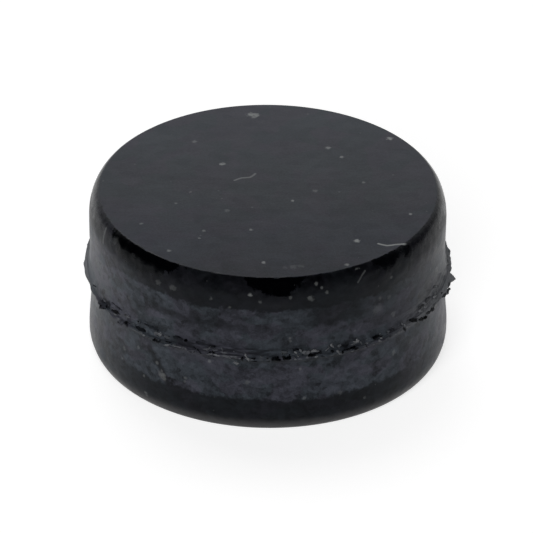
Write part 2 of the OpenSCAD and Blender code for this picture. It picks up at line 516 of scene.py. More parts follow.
def skin_layout(g):
    """What the body's finish is made from: where a point is, the areas it is in, its patterns."""
    at = use(g, "puck_places")
    skin = SimpleNamespace(place=at["Place"], turn=at["Turn"], side_turn=at["Side Turn"],
                           height=at["Height"])
    # Laid first, because the renderer can hold only so many values at a time
    skin.marks = g.largest(hand_placed_marks(g, skin.place))
    skin.right, skin.back, _ = g.separate(skin.place)
    worn_out = g.math("ADD", at["Radius"], g.swinging(skin.place, *FACE_EDGE_WEAR))
    worn_edge = g.math("MULTIPLY", g.ramp(worn_out, *WORN_EDGE), g.ramp(skin.back, *WORN_FRONT))
    skin.on_top = g.math("MULTIPLY", g.ramp(skin.height, *TOP_SKIN), g.rest_of(worn_edge))
    skin.off_top = g.rest_of(skin.on_top)

    skin.wander = g.total([g.swinging(skin.place, *waves) for waves in WANDERS])
    skin.level = g.math("ADD", skin.height, skin.wander)
    skin.plates = use(g, "patches", Place=skin.place, **PLATES)
    skin.chips = use(g, "patches", Place=skin.place, **CHIPS)
    skin.grain = g.noise(skin.place, *GRAIN)
    skin.tearing = g.round_noise(skin.place, ROOT_R / MM, *BODY_TEARS)

    sides = g.math("MAXIMUM", g.ramp(skin.side_turn, *FAR_LEFT), g.ramp(skin.side_turn, *FAR_RIGHT))
    skin.far = g.math("MULTIPLY", g.ramp(skin.height, *UNDER_RIM), sides)
    skin.torn_front = use(g, "band", Value=wandering(g, skin, skin.turn, WANDER_TURN),
                          From=TORN_FROM, To=TORN_TO, Softness=TORN_SOFT)
    skin.flare = use(g, "band", Value=wandering(g, skin, skin.height, WANDER_FLARE),
                     From=FLARE_LOW, To=FLARE_HIGH, Softness=FLARE_SOFT)
    return skin


def wandering(g, skin, value, share):
    """A turn or a height shifted by a share of the wander, so that edges aren't straight."""
    return g.math("ADD", value, g.math("MULTIPLY", skin.wander, share))


def bloomed(g, place, amount):
    """Colour of the rubber under an amount of bloom, which is cooler here and warmer there."""
    warmth = g.ramp(use(g, "patches", Place=place, **HUES), 0.3, 0.7)
    return g.mix(amount, CLEAN, g.mix(warmth, BLOOM_COOL, BLOOM_WARM))


# How much bloom the wall carries: (height to which it holds, amount, softness of that edge). The low
# amount from 0.8 to 2.6 mm is painted shade, where the lower wall mirrors the floor's contact shadow
BLOOM_AND_SHADE_LEVELS = [(0.8, 0.11, 0.5), (2.6, 0.075, 0.16), (5.65, 0.39, 0.5), (8.0, 0.36, 0.8),
                (9.8, 0.31, 0.14), (TOP + 1, 0.05, 0.1)]
# Towards the sides the steps between the levels fade, by this share, into this amount
SIDE_FADE, SIDE_LEVEL = 0.6, 0.30
# How much of the bloom comes and goes with the plates, the chips, the clouds and the grain
MOTTLE_SHARES = (0.8, 0.7, 0.8, 1.4)
# Painted light: what the wall carries more towards its left side, where grazing light makes it look
# lighter, and where the lower half gets only a share of it
LEFT_PAINTED_LIGHT = [(-12.0, -48.0, 0.0, 0.65), (-46.0, -62.0, 0.0, 0.8), (-55.0, -82.0, 0.0, 1.2)]
LEFT_LOW_SHARE = 0.5
# The same painted light for its right side, and what the lower half gets on top of that
RIGHT_PAINTED_LIGHT = (36.0, 70.0, 0.0, 0.62)
RIGHT_LOW_PAINTED_LIGHT = [(2.0, 35.0, 0.0, 0.2), (56.0, 80.0, 0.0, 1.5)]
UPPER_HALF = (5.9, 6.6)
# On the flare the bloom follows the tears: its swing at the sides, its amount where it was torn,
# which at the front is painted shade, darker where the flare mirrors the dark overhead
STRETCHED_SWING, TORN_FRONT_SHADE = 0.28, (0.36, 0.70, 0.12, 0.58)


def wall_bloom_and_shade(g, height):
    """Bloom and painted shade at a height: one level per stretch, with soft steps between them."""
    amount = BLOOM_AND_SHADE_LEVELS[0][1]
    for (edge, level, soft), (_, level_above, _) in zip(BLOOM_AND_SHADE_LEVELS, BLOOM_AND_SHADE_LEVELS[1:]):
        step = g.ramp(height, edge - soft, edge + soft, 0.0, level_above - level)
        amount = g.math("ADD", amount, step)
    return amount


def side_painted_light(g, turn, height):
    """Painted light towards the wall's two sides, as a factor on its bloom where 1 is the front's."""
    lower = g.rest_of(g.ramp(height, *UPPER_HALF))
    left = g.total([g.ramp(turn, *extra) for extra in LEFT_PAINTED_LIGHT])
    left_share = g.rest_of(g.math("MULTIPLY", lower, LEFT_LOW_SHARE))
    right = [g.product([lower, g.ramp(turn, *extra)]) for extra in RIGHT_LOW_PAINTED_LIGHT]
    right.append(g.ramp(turn, *RIGHT_PAINTED_LIGHT))
    return g.total([1.0, g.math("MULTIPLY", left, left_share), g.total(right)])


def wall_amount(g, skin, dark_reflection):
    """How much bloom the wall carries at a point, with painted shade and painted light in it."""
    clouds = use(g, "mottle", Place=skin.place, **CLOUDS)
    patterns = (skin.plates, skin.chips, clouds, skin.grain)
    mottle = g.total([g.around_zero(pattern, share)
                      for pattern, share in zip(patterns, MOTTLE_SHARES)])
    stepped = g.blend(g.math("MULTIPLY", skin.far, SIDE_FADE), wall_bloom_and_shade(g, skin.level), SIDE_LEVEL)
    amount = g.product([stepped, side_painted_light(g, skin.side_turn, skin.height),
                        g.math("ADD", 1.0, mottle)])
    stretched = g.math("ADD", amount, g.around_zero(skin.tearing, STRETCHED_SWING))
    on_flare = g.blend(skin.torn_front, stretched, g.ramp(skin.tearing, *TORN_FRONT_SHADE))
    amount = g.math("MAXIMUM", g.blend(skin.flare, amount, on_flare), 0.0)
    return g.math("MULTIPLY", amount, g.rest_of(bare_places(g, skin, dark_reflection)))


# Stretches of the upper wall with less bloom: (from and to turn, from and to height, share gone)
BARE_STRETCHES = [(-40.0, -8.0, 8.15, 8.7, 0.55), (14.0, 33.0, 8.3, 9.9, 0.6),
                  (30.0, 46.0, 8.9, 10.0, 0.35)]
BARE_END_SOFT, BARE_EDGE_SOFT = 3.0, 0.2
# How much of the bloom a scrape takes, by the grain
SCRAPE_DEPTH = (0.15, 0.5, 0.5, 1.0)


def bare_places(g, skin, dark_reflection):
    """Mask of where the wall's bloom is gone, also where it is painted away as dark reflection on the
    rim.
    """
    scraped = g.largest([wall_streak(g, skin.place, scrape) for scrape in SCRAPES])
    found = [g.math("MULTIPLY", scraped, g.ramp(skin.grain, *SCRAPE_DEPTH)), dark_reflection]
    for start, end, low, high, share in BARE_STRETCHES:
        along = use(g, "band", Value=skin.turn, From=start, To=end, Softness=BARE_END_SOFT)
        up = use(g, "band", Value=skin.level, From=low, To=high, Softness=BARE_EDGE_SOFT)
        found.append(g.product([along, up, share]))
    return g.largest(found)


# Jet black patches on the upper rim, painted dark reflection: (turn of the middle, half width, height
# of the lowest point, strength). Their lower edge rises by JET_RISE from the middle to half width
DARK_REFLECTION_PATCHES = [(-46.6, 14.3, 10.85, 1.0), (2.2, 8.8, 11.0, 1.0), (43.5, 5.5, 11.0, 0.65)]
JET_RISE, JET_EDGE_BELOW, JET_EDGE_ABOVE = 0.8, 0.07, 0.12


def dark_reflection_patch(g, turn, height, patch):
    """Mask of a patch on the rim painted as a dark reflection that mirrors nothing: its lower edge is
    a curve.
    """
    middle, half, lowest, strength = patch
    away = g.math("DIVIDE", g.math("ABSOLUTE", g.math("SUBTRACT", turn, middle)), half)
    rise = g.math("MULTIPLY", g.math("POWER", away, 2.0), JET_RISE)
    above = g.math("SUBTRACT", height, rise)
    return g.ramp(above, lowest - JET_EDGE_BELOW, lowest + JET_EDGE_ABOVE, 0.0, strength)


def dark_reflection_patches(g, skin):
    """Mask of all the painted dark reflection patches, and the ragged height that they are cut with.
    """
    height = g.total([wandering(g, skin, skin.height, WANDER_JET)]
                     + [g.swinging(skin.place, *rags) for rags in JET_EDGE_RAGS])
    turn = g.total([skin.turn] + [g.swinging(skin.place, *rags) for rags in JET_SIDE_RAGS])
    patches = g.largest([dark_reflection_patch(g, turn, height, patch) for patch in DARK_REFLECTION_PATCHES])
    return g.math("MULTIPLY", skin.off_top, patches), height


# The top face is lighter at its back edge than at its front edge, and a little lighter at the left
FACE_SLOPE = (-12.0, 12.0, 0.15, 0.54)
FACE_LEFT_EXTRA = (-3.0, -10.0, 0.0, 0.04)
# Streaks across the face: how a place is drawn out for them, their noise, and their share
STREAK_SHAPE, STREAKS, STREAK_SHARE = (0.3, 1.3, 1.0), (1.6, 4.0, 0.6), 0.16
FACE_GRAIN_SHARE = 0.40
# What its colour is multiplied by towards the front edge
BLUER, BLUER_FRONT = (1.0, 1.0, 1.16), (0.0, -8.0)


def face_amount(g, skin):
    """How light the top face is at a point, by its bloom and by a slope from its back to its front."""
    slope = g.add("ShaderNodeMapRange", skin.back, *FACE_SLOPE).outputs[0]
    drawn_out = g.vector("MULTIPLY", skin.place, STREAK_SHAPE)
    return g.total([slope, g.ramp(skin.right, *FACE_LEFT_EXTRA),
                    g.around_zero(g.noise(drawn_out, *STREAKS), STREAK_SHARE),
                    g.around_zero(skin.grain, FACE_GRAIN_SHARE),
                    g.swinging(skin.place, *FACE_CLOUDS)])


# Painted highlight along the flare at the sides, for the grazing light: its height from above and
# from below, turns, tears
HIGHLIGHT_ABOVE, HIGHLIGHT_BELOW = (7.5, 6.7), (6.0, 6.12)
HIGHLIGHT_TURNS, HIGHLIGHT_TEARS = (30.0, 60.0, 0.3, 1.0), (0.38, 0.62, 0.15, 0.75)
# The lowest part of the wall, scuffed by what the puck slid on
SCUFF_FROM, SCUFF_TO, SCUFF_SOFT, SCUFF_SHARE = -1.0, 0.75, 0.4, 0.7


def body_colour(g, skin, dark_reflection):
    """Colour of the body without dirt: bloomed, bluer at the front of its face, painted highlight,
    scuffed.
    """
    amount = g.blend(skin.on_top, wall_amount(g, skin, dark_reflection), face_amount(g, skin))
    colour = bloomed(g, skin.place, amount)
    front_face = g.math("MULTIPLY", skin.on_top, g.ramp(skin.back, *BLUER_FRONT))
    colour = g.mix(front_face, colour, g.vector("MULTIPLY", colour, BLUER))
    painted_highlight = g.product([skin.far, g.ramp(skin.height, *HIGHLIGHT_ABOVE), g.ramp(skin.height, *HIGHLIGHT_BELOW),
                     g.ramp(skin.side_turn, *HIGHLIGHT_TURNS), g.ramp(skin.tearing, *HIGHLIGHT_TEARS)])
    colour = g.mix(painted_highlight, colour, PAINTED_HIGHLIGHT_GREY)
    scuffed = use(g, "band", Value=wandering(g, skin, skin.height, WANDER_SCUFF),
                  From=SCUFF_FROM, To=SCUFF_TO, Softness=SCUFF_SOFT)
    return g.mix(g.math("MULTIPLY", scuffed, SCUFF_SHARE), colour, SCUFFED)


SPECK_STRENGTH, PINPOINT_STRENGTH = 0.14, 0.1


def body_dirt(g, skin):
    """Mask of the dust and lint on the body."""
    specks = use(g, "specks", Place=skin.place, **SPECKS)
    pinpoints = use(g, "specks", Place=skin.place, **PINPOINTS)
    return g.largest([g.math("MULTIPLY", specks, SPECK_STRENGTH),
                      g.math("MULTIPLY", pinpoints, PINPOINT_STRENGTH), skin.marks])


# Roughness of the dull rubber, its swing with the plates and the grain, and its rise under dirt
DULL, DULL_PLATES, DULL_GRAIN, DULL_DIRT = 0.40, 0.12, 0.12, 0.3
# Roughness of the glossy rubber, by its noise
GLOSS_NOISE, GLOSS = (1.3, 2.0, 0.6), (0.35, 0.65, 0.12, 0.22)
# The rim towards the sides is this much of the way to glossy
SIDE_RIM, SIDE_RIM_SHARE = (11.0, 11.5), 0.65
SIDE_RIM_LEFT, SIDE_RIM_RIGHT = (-50.0, -60.0), (44.0, 54.0)


def body_roughness(g, skin, dark_reflection, rim_height, dirt):
    """Dull rubber, with a gloss on the jet black patches and on the rim towards the sides."""
    dull = g.total([g.around_zero(skin.plates, DULL_PLATES), g.around_zero(skin.grain, DULL_GRAIN),
                    DULL, g.math("MULTIPLY", dirt, DULL_DIRT)])
    sides = g.math("MAXIMUM", g.ramp(skin.side_turn, *SIDE_RIM_LEFT),
                   g.ramp(skin.side_turn, *SIDE_RIM_RIGHT))
    side_rim = g.product([skin.off_top, g.ramp(rim_height, *SIDE_RIM), sides, SIDE_RIM_SHARE])
    gloss = g.ramp(g.noise(skin.place, *GLOSS_NOISE), *GLOSS)
    return g.blend(g.math("MAXIMUM", dark_reflection, side_rim), dull, gloss)


# Depth of the fine relief, and what the plates, the chips, the grain and the tears give to it
RELIEF_DEPTH = 0.016 * MM
PLATE_RELIEF, CHIP_RELIEF, GRAIN_RELIEF, TEAR_RELIEF = 0.5, 0.3, 0.5, 4.0
# The top face has this share of the wall's relief
FACE_RELIEF = 0.35
# A shallow dent in the rim at the front: its slopes from above and below, its depth and its turns
DENT_ABOVE, DENT_BELOW, DENT_DEPTH = (11.75, 10.95), (10.0, 10.7), 5.0
DENT_FROM, DENT_TO, DENT_SOFT = -2.5, 8.0, 3.0
# The rim's own dents: the heights over which they begin, and how they fade at the sides
RIM_HEIGHTS, RIM_FADE = (9.9, 10.6), (46.0, 68.0, 1.0, 0.25)


def body_relief(g, skin):
    """Height of the fine relief: little on the top face, most along the torn flare."""
    dent = g.product([g.ramp(skin.height, *DENT_ABOVE), g.ramp(skin.height, *DENT_BELOW), DENT_DEPTH,
                      use(g, "band", Value=skin.turn, From=DENT_FROM, To=DENT_TO,
                          Softness=DENT_SOFT)])
    rim = g.product([g.ramp(skin.height, *RIM_HEIGHTS), skin.off_top,
                     g.ramp(g.math("ABSOLUTE", skin.side_turn), *RIM_FADE),
                     g.swinging(skin.place, *RIM_DENTS)])
    relief = g.total([g.math("MULTIPLY", skin.plates, PLATE_RELIEF),
                      g.math("MULTIPLY", skin.chips, CHIP_RELIEF),
                      g.math("MULTIPLY", skin.grain, GRAIN_RELIEF),
                      g.product([skin.flare, skin.torn_front, skin.tearing, TEAR_RELIEF]),
                      dent, rim])
    wall_extra = g.math("MULTIPLY", skin.off_top, 1.0 - FACE_RELIEF)
    return g.math("MULTIPLY", relief, g.math("ADD", FACE_RELIEF, wall_extra))


def moulded_rubber():
    """Black rubber from the mould: bloom in plates and streaks, clean rims, dust, lint, painted shade
    and light.
    """
    material, g, shader = new_material("moulded_rubber", 0.42, GLOSS_LEVEL)
    skin = skin_layout(g)
    dark_reflection, rim_height = dark_reflection_patches(g, skin)
    dirt = body_dirt(g, skin)
    g.feed(shader.inputs["Base Color"], g.mix(dirt, body_colour(g, skin, dark_reflection), DUST))
    g.feed(shader.inputs["Roughness"], body_roughness(g, skin, dark_reflection, rim_height, dirt))
    g.feed(shader.inputs["Normal"], g.bump(body_relief(g, skin), RELIEF_DEPTH))
    return material


# The flash has more bloom in its own tears, and painted light towards the left side for the grazing
# light
FLASH_LEFT_PAINTED_LIGHT, FLASH_BLOOM = (-30.0, -55.0, 0.0, 0.4), (0.25, 0.75, 0.32, 0.56)
# At the far left and right it carries a painted highlight, by its tears
FLASH_HIGHLIGHT_LEFT, FLASH_HIGHLIGHT_RIGHT, FLASH_HIGHLIGHT = (-66.0, -84.0), (38.0, 60.0), (0.2, 0.8, 0.5, 1.0)
FLASH_ROUGHNESS, FLASH_RELIEF_DEPTH = (0.2, 0.8, 0.45, 0.7), 0.02 * MM


def torn_rubber():
    """Torn flash in the wall's skin with painted light, and tones from painted black shade to pale
    highlight.
    """
    material, g, shader = new_material("torn_rubber", 0.55, GLOSS_LEVEL)
    at = use(g, "puck_places")
    place, side_turn = at["Place"], at["Side Turn"]
    tearing = g.round_noise(place, ROOT_R / MM, *FLASH_TEARS)
    tone = g.add("ShaderNodeAttribute", settings={"attribute_name": "tone"}).outputs["Fac"]
    left_painted_light = g.math("ADD", 1.0, g.ramp(side_turn, *FLASH_LEFT_PAINTED_LIGHT))
    amount = g.math("MULTIPLY", left_painted_light, g.ramp(tearing, *FLASH_BLOOM))
    highlight_sides = g.math("MAXIMUM", g.ramp(side_turn, *FLASH_HIGHLIGHT_LEFT),
                       g.ramp(side_turn, *FLASH_HIGHLIGHT_RIGHT))
    painted_highlight = g.math("MULTIPLY", highlight_sides, g.ramp(tearing, *FLASH_HIGHLIGHT))
    own_skin = g.mix(painted_highlight, bloomed(g, place, amount), PAINTED_HIGHLIGHT_GREY)
    # Tone 0 is clean black, painted shade in crevices and under the web; tone 1 is pale, partly
    # painted highlight
    dark = g.mix(g.ramp(tone, 0.0, 0.5), CLEAN, own_skin)
    g.feed(shader.inputs["Base Color"], g.mix(g.ramp(tone, 0.5, 1.0), dark, PALE))
    g.feed(shader.inputs["Roughness"], g.ramp(tearing, *FLASH_ROUGHNESS))
    g.feed(shader.inputs["Normal"], g.bump(tearing, FLASH_RELIEF_DEPTH))
    return material


# ---------------------------------------------------------------- geometry trees

# Points nearer to each other than this are joined, where a turned sheet meets itself
TOUCHING = 0.001 * MM


def run_tree(name, start, g, values):
    """Runs a geometry tree on a start mesh and returns an object that holds the plain result."""
    piece = bpy.data.objects.new(name, start)
    bpy.context.scene.collection.objects.link(piece)
    modifier = piece.modifiers.new(g.tree.name, "NODES")
    modifier.node_group = g.tree
    sockets = {item.name: item.identifier for item in g.tree.interface.items_tree
               if item.in_out == "INPUT"}
    for label, value in values.items():
        modifier[sockets[label]] = value
    depsgraph = bpy.context.evaluated_depsgraph_get()
    made = bpy.data.meshes.new_from_object(
        piece.evaluated_get(depsgraph), preserve_all_data_layers=True, depsgraph=depsgraph)
    piece.modifiers.remove(modifier)
    piece.data = made
    made.name = name
    return piece


def line_mesh(name, points, **attributes):
    """A mesh of loose points, which a tree samples by their order, with a value for each point."""
    mesh = bpy.data.meshes.new(name)
    mesh.from_pydata(points, [], [])
    for label, values in attributes.items():
        layer = mesh.attributes.new(label, "FLOAT", "POINT")
        layer.data.foreach_set("value", values)
    return mesh


def sample(g, geometry, value, index, data_type="FLOAT"):
    settings = {"data_type": data_type, "domain": "POINT"}
    return g.add("GeometryNodeSampleIndex", settings=settings, named={
        "Geometry": geometry, "Value": value, "Index": index}).outputs[0]


def position_of(g):
    return g.add("GeometryNodeInputPosition").outputs[0]


def named_value(g, label):
    return g.add("GeometryNodeInputNamedAttribute", label,
                 settings={"data_type": "FLOAT"}).outputs["Attribute"]


def stored(g, geometry, label, value):
    """Keeps a value for each point under a name."""
    settings = {"data_type": "FLOAT", "domain": "POINT"}
    return g.add("GeometryNodeStoreNamedAttribute", settings=settings, named={
        "Geometry": geometry, "Name": label, "Value": value}).outputs[0]


def moved(g, geometry, **places):
    """Moves the points to a Position, or by an Offset."""
    return g.add("GeometryNodeSetPosition",
                 named={"Geometry": geometry, **places}).outputs[0]


def point_count(g, points):
    return g.add("GeometryNodeAttributeDomainSize", points).outputs["Point Count"]


def sheet(g, columns, rows):
    """A flat sheet of points, and for each of them its column and its row."""
    grid = g.add("GeometryNodeMeshGrid", named={
        "Size X": 1.0, "Size Y": 1.0, "Vertices X": columns, "Vertices Y": rows}).outputs["Mesh"]
    index = g.add("GeometryNodeInputIndex").outputs[0]
    column = g.math("FLOOR", g.math("DIVIDE", g.math("ADD", index, 0.5), rows))
    row = g.math("SUBTRACT", index, g.math("MULTIPLY", column, rows))
    return grid, column, row


def turned_round(g, radius, angle, height):
    """Place at a radius, an angle round the axis and a height."""
    return g.combine(g.math("MULTIPLY", radius, g.math("COSINE", angle)),
                     g.math("MULTIPLY", radius, g.math("SINE", angle)), height)


def joined_up(g, geometry):
    return g.add("GeometryNodeMergeByDistance", named={
        "Geometry": geometry, "Distance": TOUCHING}).outputs[0]


def finish_tree(g, mesh, material):
    """The end of each tree: real geometry, smooth, in its material."""
    real = g.add("GeometryNodeRealizeInstances", mesh).outputs[0]
    smooth = g.add("GeometryNodeSetShadeSmooth", real).outputs[0]
    dressed = g.add("GeometryNodeSetMaterial", named={"Geometry": smooth, "Material": material})
    g.feed(g.out["Geometry"], dressed.outputs[0])


def turned_tree():
    """Turns an outline of loose points (radius, 0, height) round the axis and makes it uneven."""
    g = new_tree("turned_body", "GeometryNodeTree", {
        "Outline": (SHAPE, None), "Steps Round": (INTEGER, 64), "Parting Height": (FLOAT, 0.0),
        "Mould Shift": (FLOAT, 0.0), "Waviness": (FLOAT, 0.0),
        "Wave Size": (FLOAT, 1.0), "Dimpling": (FLOAT, 0.0), "Dimple Size": (FLOAT, 1.0),
        "Material": (MATERIAL, None)}, {"Geometry": SHAPE})
    outline, steps = g.inside["Outline"], g.inside["Steps Round"]
    grid, step, order = sheet(g, g.math("ADD", steps, 1.0), point_count(g, outline))
    position = position_of(g)
    out, _, up = g.separate(sample(g, outline, position, order, "FLOAT_VECTOR"))
    kept = stored(g, grid, "freedom", sample(g, outline, named_value(g, "freedom"), order))
    angle = g.math("MULTIPLY", g.math("DIVIDE", step, steps), math.tau)
    # The two halves of the mould don't quite meet: the lower one goes right, the upper one left
    middle = g.inside["Parting Height"]
    way = g.ramp(up, g.math("MULTIPLY", middle, 0.9), g.math("MULTIPLY", middle, 1.1), 1.0, -1.0)
    shift = g.combine(g.math("MULTIPLY", way, g.inside["Mould Shift"]), 0.0, 0.0)
    turned = g.vector("ADD", turned_round(g, out, angle, up), shift)
    closed = joined_up(g, moved(g, kept, Position=turned))

    waves = [g.around_zero(g.noise(position, g.math("DIVIDE", 1.0, g.inside[size]), detail),
                           g.inside[height])
             for size, height, detail in (("Wave Size", "Waviness", 2.0),
                                          ("Dimple Size", "Dimpling", 3.0))]
    push = g.math("MULTIPLY", g.total(waves), named_value(g, "freedom"))
    normal = g.add("GeometryNodeInputNormal").outputs[0]
    uneven = moved(g, closed, Offset=g.scaled(normal, push))
    finish_tree(g, uneven, g.inside["Material"])
    return g


# Along half the section this share closes the buried root, the next goes out to the edge, and the
# rest turns over the torn face. A swing above 1 is cut off, which keeps both faces of the web flat
ROOT_SHARE, OUTWARD_SHARE, FACE_SWING = 0.1, 0.76, 2.2
# How much of the tear is a swirl, next to what goes in and out, and how much a calm edge loses
SWIRL_SHARE, CALMING = 0.5, 0.85
# How strongly the tear sets the tone
TONE_SWING = 1.6


def web_section(g, share, reach, lift):
    """Section of the web: out along the top, down the blunt torn face, back along the underside.

    Gives how far out a point is, from 0 to 1, its distance beyond the root and its height.
    """
    there_and_back = g.rest_of(g.math("ABSOLUTE", g.math(
        "SUBTRACT", g.math("MULTIPLY", share, 2.0), 1.0)))
    out = g.kept_within(g.math("DIVIDE", g.math("SUBTRACT", there_and_back, ROOT_SHARE),
                               OUTWARD_SHARE), 0.0, 1.0)
    around = g.math("SINE", g.math("MULTIPLY", share, math.tau))
    side = g.kept_within(g.math("MULTIPLY", around, FACE_SWING), -1.0, 1.0)
    buried = g.inside["Buried"]
    beyond = g.math("SUBTRACT", g.math("MULTIPLY", out, g.math("ADD", reach, buried)), buried)
    free = g.math("MAXIMUM", beyond, 0.0)
    thinning = g.math("EXPONENT", g.math("DIVIDE", free, g.math(
        "MULTIPLY", g.inside["Taper"], -1.0)))
    extra = g.math("SUBTRACT", g.inside["Root Thickness"], g.inside["Edge Thickness"])
    thick = g.math("ADD", g.inside["Edge Thickness"], g.math("MULTIPLY", extra, thinning))
    curl = g.math("MULTIPLY", lift, g.math("POWER", g.math("DIVIDE", free, reach), 2.0))
    height = g.total([g.inside["Middle Height"], g.product([side, thick, 0.5]), curl])
    return out, beyond, height


def torn_edge(g, web):
    """Tears the edge of a web, and stores along it the tone of the rubber, with painted shade and
    highlight.
    """
    position = position_of(g)
    torn = g.round_noise(position, g.inside["Root Radius"], g.inside["Tear Length"],
                         g.inside["Tear Height"], 4.0, "Color")
    tear = g.separate(torn)[0]
    outward = g.vector("NORMALIZE", g.vector("MULTIPLY", position, (1.0, 1.0, 0.0)))
    shake = g.vector("ADD", g.scaled(g.vector("SUBTRACT", torn, HALF_GREY), SWIRL_SHARE),
                     g.scaled(outward, g.math("SUBTRACT", tear, 0.5)))
    torn_here = g.rest_of(g.math("MULTIPLY", named_value(g, "calm"), CALMING))
    amount = g.product([g.inside["Tear Depth"], torn_here,
                        g.math("POWER", named_value(g, "edge"), 2.0)])
    # Painted shade and highlight: where the tear bites deep the rubber is clean black, where it stands
    # out it's pale
    swing = g.product([g.around_zero(tear, TONE_SWING), torn_here, named_value(g, "edge")])
    tone = g.kept_within(g.math("ADD", 0.5, swing), 0.0, 1.0)
    return moved(g, stored(g, web, "tone", tone), Offset=g.scaled(shake, amount))


def web_tree():
    """A torn web round the parting line, from loose points that hold its reach and lift."""
    g = new_tree("torn_web", "GeometryNodeTree", {
        "Rim Points": (SHAPE, None), "Steps Across": (INTEGER, 16), "Root Radius": (FLOAT, 1.0),
        "Buried": (FLOAT, 0.1), "Root Thickness": (FLOAT, 0.1), "Edge Thickness": (FLOAT, 0.02),
        "Taper": (FLOAT, 0.1), "Middle Height": (FLOAT, 0.0), "Tear Depth": (FLOAT, 0.0),
        "Tear Length": (FLOAT, 1.0), "Tear Height": (FLOAT, 1.0),
        "Material": (MATERIAL, None)}, {"Geometry": SHAPE})
    rim, across = g.inside["Rim Points"], g.inside["Steps Across"]
    count = point_count(g, rim)
    grid, step, row = sheet(g, g.math("ADD", count, 1.0), g.math("ADD", across, 1.0))
    order = g.math("FLOORED_MODULO", step, count)
    reach, lift, calm = [sample(g, rim, named_value(g, label), order)
                         for label in ("reach", "lift", "calm")]
    out, beyond, height = web_section(g, g.math("DIVIDE", row, across), reach, lift)
    angle = g.math("MULTIPLY", g.math("DIVIDE", step, count), math.tau)
    radius = g.math("ADD", g.inside["Root Radius"], beyond)
    marked = stored(g, stored(g, grid, "edge", out), "calm", calm)
    placed = moved(g, marked, Position=turned_round(g, radius, angle, height))
    finish_tree(g, torn_edge(g, joined_up(g, placed)), g.inside["Material"])
    return g


def crumbs_tree():
    """Crumbs and slivers of torn rubber on loose points that hold their length, width and lean."""
    g = new_tree("torn_crumbs", "GeometryNodeTree", {
        "Crumb Points": (SHAPE, None), "Seed": (INTEGER, 0), "Raggedness": (FLOAT, 0.0),
        "Rag Size": (FLOAT, 1.0), "Material": (MATERIAL, None)}, {"Geometry": SHAPE})
    crumb = g.add("GeometryNodeMeshUVSphere", named={
        "Segments": 8, "Rings": 5, "Radius": 0.5}).outputs["Mesh"]
    position = position_of(g)
    right, back, _ = g.separate(position)
    along = g.math("ADD", g.math("ARCTAN2", back, right), math.pi / 2)
    spin = g.add("FunctionNodeRandomValue", settings={"data_type": "FLOAT"}, named={
        "Min": 0.0, "Max": math.tau, "Seed": g.inside["Seed"]}).outputs["Value"]
    turn = g.combine(spin, named_value(g, "lean"), g.math("ADD", along, named_value(g, "skew")))
    width = named_value(g, "wide")
    size = g.combine(named_value(g, "long"), width, g.math("MULTIPLY", width, CRUMB_FLATNESS))
    spread = g.add("GeometryNodeInstanceOnPoints", named={
        "Points": g.inside["Crumb Points"], "Instance": crumb, "Rotation": turn,
        "Scale": size}).outputs[0]
    real = g.add("GeometryNodeRealizeInstances", spread).outputs[0]
    rag = g.noise(position, g.math("DIVIDE", 1.0, g.inside["Rag Size"]), 2.0, 0.5, "Color")
    swing = g.math("MULTIPLY", g.inside["Raggedness"], width)
    ragged = moved(g, real, Offset=g.scaled(g.vector("SUBTRACT", rag, HALF_GREY), swing))
    finish_tree(g, ragged, g.inside["Material"])
    return g


# ---------------------------------------------------------------- the puck's body

STEPS_ROUND = 540
# Each stretch of the CAD outline is cut into this many
OUTLINE_CUTS = 3
# Even rings of a flat face, and how far inside its edge the last ones lie, in millimetres
FLAT_RINGS, EDGE_GAPS = 12, (0.4, 0.12, 0.04)
# The flats stay flat, so that the puck rests on them. What is this far from both, in millimetres,
# is free to be uneven
FREE_FROM = 0.8
MOULD_SHIFT = 0.035 * MM


def flat_rings(edge_radius, height):
    """Rings of a flat face from the middle out, the last ones close to its edge to keep it crisp."""
    even = [(edge_radius * i / FLAT_RINGS, height) for i in range(FLAT_RINGS)]
    return even + [(edge_radius - gap, height) for gap in EDGE_GAPS]


def puck_body(material):
    """The body: the CAD outline made smoother, turned, and given a moulding's slight unevenness."""
    side = spline(CAD_OUTLINE, OUTLINE_CUTS)
    outline = flat_rings(*side[0]) + side + flat_rings(*side[-1])[::-1]
    freedom = [min(1.0, height / FREE_FROM, (TOP - height) / FREE_FROM)
               for radius, height in outline]
    points = [(radius * MM, 0.0, height * MM) for radius, height in outline]
    start = line_mesh("outline", points, freedom=freedom)
    piece = run_tree("moulded_puck", start, turned_tree(), {
        "Steps Round": STEPS_ROUND, "Parting Height": PARTING_Z, "Mould Shift": MOULD_SHIFT,
        "Waviness": 0.06 * MM, "Wave Size": 4 * MM,
        "Dimpling": 0.03 * MM, "Dimple Size": 0.9 * MM, "Material": material})
    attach(piece, BODY)
    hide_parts("puck_body")
    return piece


# ---------------------------------------------------------------- the torn flash

RIM_POINTS = 2600
# The web is this thick at its root and at its edge, and thins over this length
WEB_ROOT_T, WEB_EDGE_T, WEB_TAPER = FLASH_T * 1.25, FLASH_T * 0.35, 0.22 * MM
# How much the edge goes in and out, and how much the web and the lip curl up and down
EDGE_FINENESS, WEB_CURL, LIP_CURL = 0.05 * MM, 0.05 * MM, 0.07 * MM
# Points of the CAD flash further out than this belong to its torn edge
EDGE_BEYOND = 0.03 * MM
LEAST_REACH = 0.02 * MM
# The noises of that edge and of the curl: (scale on a circle of radius 1, share)
EDGE_WAVES, CURL_WAVES = [(30.0, 0.7), (110.0, 0.3)], [(9.0, 1.0), (26.0, 1.0)]
# The stretch that tore cleanly: its middle and half its width in degrees, and how torn it still is
CALM_MIDDLE, CALM_HALF, CALM_TEAR = 180.0, 32.0, 0.12


